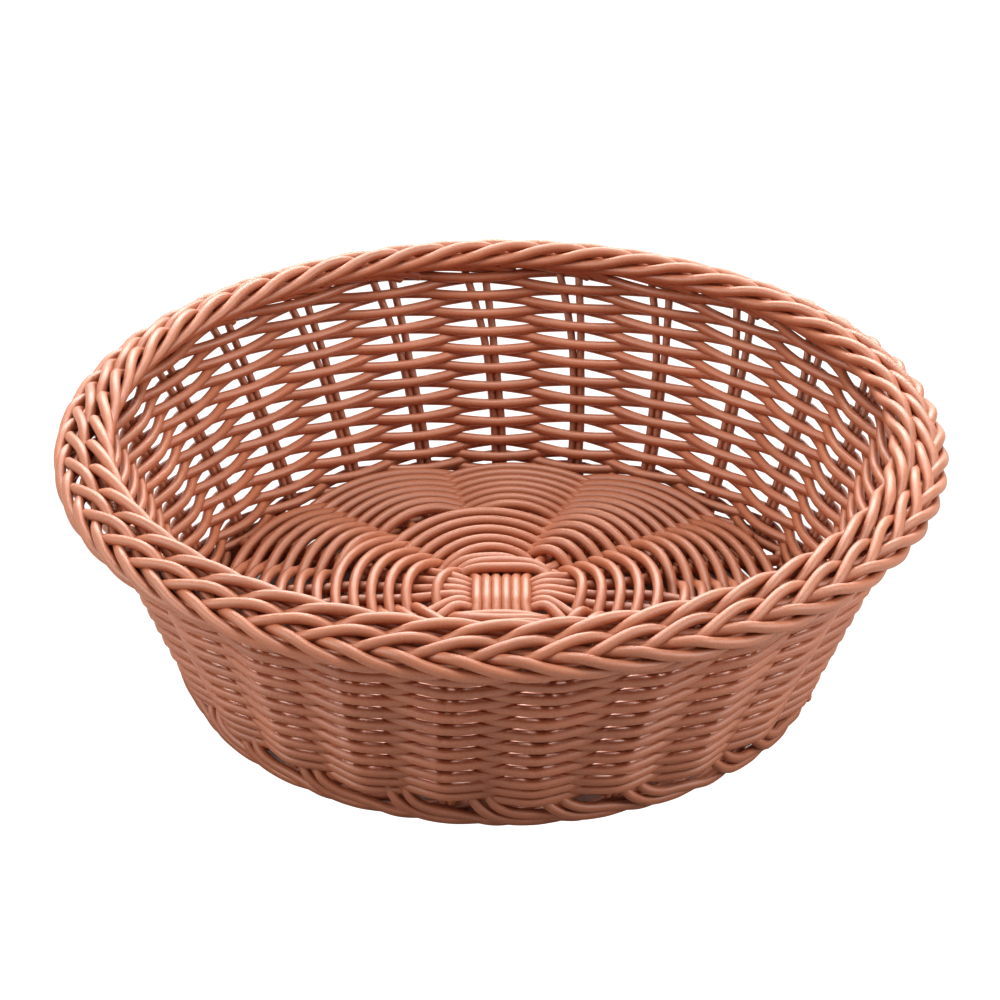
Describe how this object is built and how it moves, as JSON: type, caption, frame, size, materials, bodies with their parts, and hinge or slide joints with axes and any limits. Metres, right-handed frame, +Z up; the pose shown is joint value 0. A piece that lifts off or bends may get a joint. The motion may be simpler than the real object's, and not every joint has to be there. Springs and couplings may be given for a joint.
{
  "type": "woven fruit basket",
  "caption": "Round open woven fruit basket with sloping sides, a plaited rim and a foot ring, all of round plastic strand.",
  "frame": {"origin": "centre of the circle that the foot border stands on", "axes": "+Z up out of the bowl's mouth, -Y towards the viewer, +X to the viewer's right"},
  "size_m": [0.2589, 0.259, 0.0792],
  "materials": {
    "strand": "satin terracotta plastic strand with a fine grain"
  },
  "bodies": {
    "root": {"stake_01": "strand", "stake_02": "strand", "stake_03": "strand", "stake_04": "strand", "stake_05": "strand", "stake_06": "strand", "stake_07": "strand", "stake_08": "strand", "stake_09": "strand", "stake_10": "strand", "stake_11": "strand", "stake_12": "strand", "stake_13": "strand", "stake_14": "strand", "stake_15": "strand", "stake_16": "strand", "stake_17": "strand", "stake_18": "strand", "stake_19": "strand", "stake_20": "strand", "stake_21": "strand", "stake_22": "strand", "stake_23": "strand", "stake_24": "strand", "stake_25": "strand", "wall_weaver_1": "strand", "wall_weaver_2": "strand", "wall_weaver_3": "strand", "wall_weaver_4": "strand", "wall_weaver_5": "strand", "wall_weaver_6": "strand", "wall_weaver_7": "strand", "base_stick_fb_1": "strand", "base_stick_fb_2": "strand", "base_stick_fb_3": "strand", "base_stick_fb_4": "strand", "base_stick_fb_5": "strand", "base_stick_fb_6": "strand", "base_stick_lr_1": "strand", "base_stick_lr_2": "strand", "base_stick_lr_3": "strand", "base_stick_lr_4": "strand", "base_stick_lr_5": "strand", "base_stick_lr_6": "strand", "base_binding_1": "strand", "base_binding_2": "strand", "base_weaver_a": "strand", "base_weaver_b": "strand", "foot_border": "strand", "rim_plait_1": "strand", "rim_plait_2": "strand", "rim_plait_3": "strand"}
  },
  "joints": []
}
